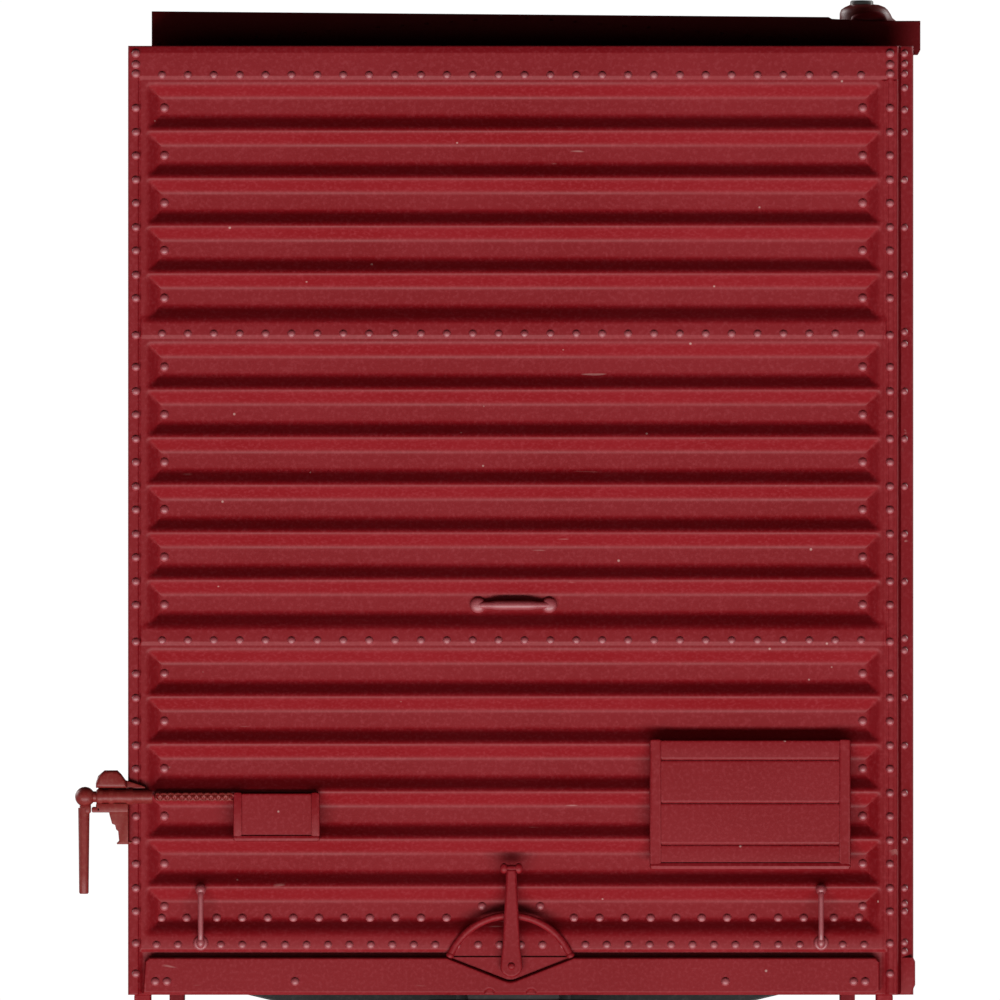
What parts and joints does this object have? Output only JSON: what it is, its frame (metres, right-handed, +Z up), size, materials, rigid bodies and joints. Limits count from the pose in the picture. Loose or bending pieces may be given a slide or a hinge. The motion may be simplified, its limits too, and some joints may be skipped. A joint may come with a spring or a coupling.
{
  "type": "model box car",
  "caption": "HO scale model of a steel freight box car: ribbed ends, sliding side doors, swivelling trucks with rolling wheelsets, swinging couplers and small end fittings.",
  "frame": {"origin": "midway along and across the car, at the level of the wheel flanges, where it stands on a table; the rail head is 0.64 mm above it", "axes": "+Z up, the car runs along Y, the plain end A with the uncoupling lever faces -Y and the hand brake end B faces +Y"},
  "size_m": [0.0394, 0.1946, 0.0573],
  "materials": {
    "maroon_plastic": "satin moulded plastic, dark red",
    "brown_plastic": "satin moulded plastic, red brown",
    "black_plastic": "satin moulded plastic, black",
    "blackened_metal": "chemically blackened metal",
    "steel": "bare steel"
  },
  "bodies": {
    "car_body": {"end_panel_a": "maroon_plastic", "end_panel_b": "maroon_plastic", "side_panel_left": "maroon_plastic", "side_panel_right": "maroon_plastic", "door_track_left": "maroon_plastic", "door_track_right": "maroon_plastic", "roof": "maroon_plastic", "roof_channel_a": "maroon_plastic", "roof_channel_b": "maroon_plastic", "roof_cap_a": "brown_plastic", "roof_cap_b": "brown_plastic", "tack_board_a": "maroon_plastic", "tack_board_b": "maroon_plastic", "routing_board": "maroon_plastic", "middle_grab": "maroon_plastic", "corner_grab_left": "maroon_plastic", "corner_grab_right": "maroon_plastic", "lever_quadrant": "maroon_plastic", "crank_bracket_a": "brown_plastic", "crank_bracket_b": "brown_plastic", "crank_chain": "brown_plastic", "brake_housing": "maroon_plastic", "brake_platform": "maroon_plastic", "ladder_left_a": "maroon_plastic", "ladder_left_b": "maroon_plastic", "ladder_right_a": "maroon_plastic", "ladder_right_b": "maroon_plastic", "sill_step_left_a": "maroon_plastic", "sill_step_left_b": "maroon_plastic", "sill_step_right_a": "maroon_plastic", "sill_step_right_b": "maroon_plastic", "floor": "black_plastic", "underframe": "black_plastic", "weight": "steel", "brake_cylinder": "black_plastic", "air_reservoir": "black_plastic", "control_valve": "black_plastic", "kingpin_a": "steel", "kingpin_b": "steel", "coupler_box_a": "black_plastic", "coupler_box_b": "black_plastic"},
    "door_left": {"door_left": "maroon_plastic"},
    "door_right": {"door_right": "maroon_plastic"},
    "truck_a": {"truck_frame_a": "black_plastic"},
    "wheelset_a1": {"wheelset_a1": "blackened_metal"},
    "wheelset_a2": {"wheelset_a2": "blackened_metal"},
    "coupler_a": {"coupler_a": "blackened_metal"},
    "knuckle_a": {"knuckle_a": "blackened_metal"},
    "crank_a": {"crank_handle_a": "brown_plastic"},
    "truck_b": {"truck_frame_b": "black_plastic"},
    "wheelset_b1": {"wheelset_b1": "blackened_metal"},
    "wheelset_b2": {"wheelset_b2": "blackened_metal"},
    "coupler_b": {"coupler_b": "blackened_metal"},
    "knuckle_b": {"knuckle_b": "blackened_metal"},
    "crank_b": {"crank_handle_b": "brown_plastic"},
    "uncoupling_lever": {"uncoupling_lever": "maroon_plastic"},
    "brake_wheel": {"brake_wheel": "maroon_plastic"}
  },
  "joints": [
    {"name": "door_left_slide", "type": "slide", "parent": "car_body", "child": "door_left", "axis": [0, -1, 0], "range_m": [0, 0.036]},
    {"name": "door_right_slide", "type": "slide", "parent": "car_body", "child": "door_right", "axis": [0, 1, 0], "range_m": [0, 0.036]},
    {"name": "truck_a_swivel", "type": "hinge", "parent": "car_body", "child": "truck_a", "pos_m": [0, -0.0715, 0.0089], "axis": [0, 0, 1], "range_deg": [-10, 10]},
    {"name": "wheelset_a1_spin", "type": "hinge", "parent": "truck_a", "child": "wheelset_a1", "pos_m": [0, -0.08115, 0.00544], "axis": [1, 0, 0], "continuous": true},
    {"name": "wheelset_a2_spin", "type": "hinge", "parent": "truck_a", "child": "wheelset_a2", "pos_m": [0, -0.06185, 0.00544], "axis": [1, 0, 0], "continuous": true},
    {"name": "coupler_a_swing", "type": "hinge", "parent": "car_body", "child": "coupler_a", "pos_m": [0, -0.0833, 0.01056], "axis": [0, 0, 1], "range_deg": [-12, 12], "stiffness_Nm_per_rad": 0.001},
    {"name": "knuckle_a_open", "type": "hinge", "parent": "coupler_a", "child": "knuckle_a", "pos_m": [-0.0015, -0.0942, 0.01056], "axis": [0, 0, -1], "range_deg": [0, 25], "stiffness_Nm_per_rad": 0.0005},
    {"name": "crank_a_turn", "type": "hinge", "parent": "car_body", "child": "crank_a", "pos_m": [-0.019, -0.09036, 0.02136], "axis": [1, 0, 0], "continuous": true},
    {"name": "truck_b_swivel", "type": "hinge", "parent": "car_body", "child": "truck_b", "pos_m": [0, 0.0715, 0.0089], "axis": [0, 0, 1], "range_deg": [-10, 10]},
    {"name": "wheelset_b1_spin", "type": "hinge", "parent": "truck_b", "child": "wheelset_b1", "pos_m": [0, 0.06185, 0.00544], "axis": [1, 0, 0], "continuous": true},
    {"name": "wheelset_b2_spin", "type": "hinge", "parent": "truck_b", "child": "wheelset_b2", "pos_m": [0, 0.08115, 0.00544], "axis": [1, 0, 0], "continuous": true},
    {"name": "coupler_b_swing", "type": "hinge", "parent": "car_body", "child": "coupler_b", "pos_m": [0, 0.0833, 0.01056], "axis": [0, 0, 1], "range_deg": [-12, 12], "stiffness_Nm_per_rad": 0.001},
    {"name": "knuckle_b_open", "type": "hinge", "parent": "coupler_b", "child": "knuckle_b", "pos_m": [0.0015, 0.0942, 0.01056], "axis": [0, 0, -1], "range_deg": [0, 25], "stiffness_Nm_per_rad": 0.0005},
    {"name": "crank_b_turn", "type": "hinge", "parent": "car_body", "child": "crank_b", "pos_m": [0.019, 0.09036, 0.02136], "axis": [1, 0, 0], "continuous": true},
    {"name": "uncoupling_lever_swing", "type": "hinge", "parent": "car_body", "child": "uncoupling_lever", "pos_m": [-0.0001, -0.0903, 0.01373], "axis": [0, 1, 0], "range_deg": [-50, 50]},
    {"name": "brake_wheel_spin", "type": "hinge", "parent": "car_body", "child": "brake_wheel", "pos_m": [0.0065, 0.092, 0.02494], "axis": [0, 1, 0], "continuous": true}
  ]
}
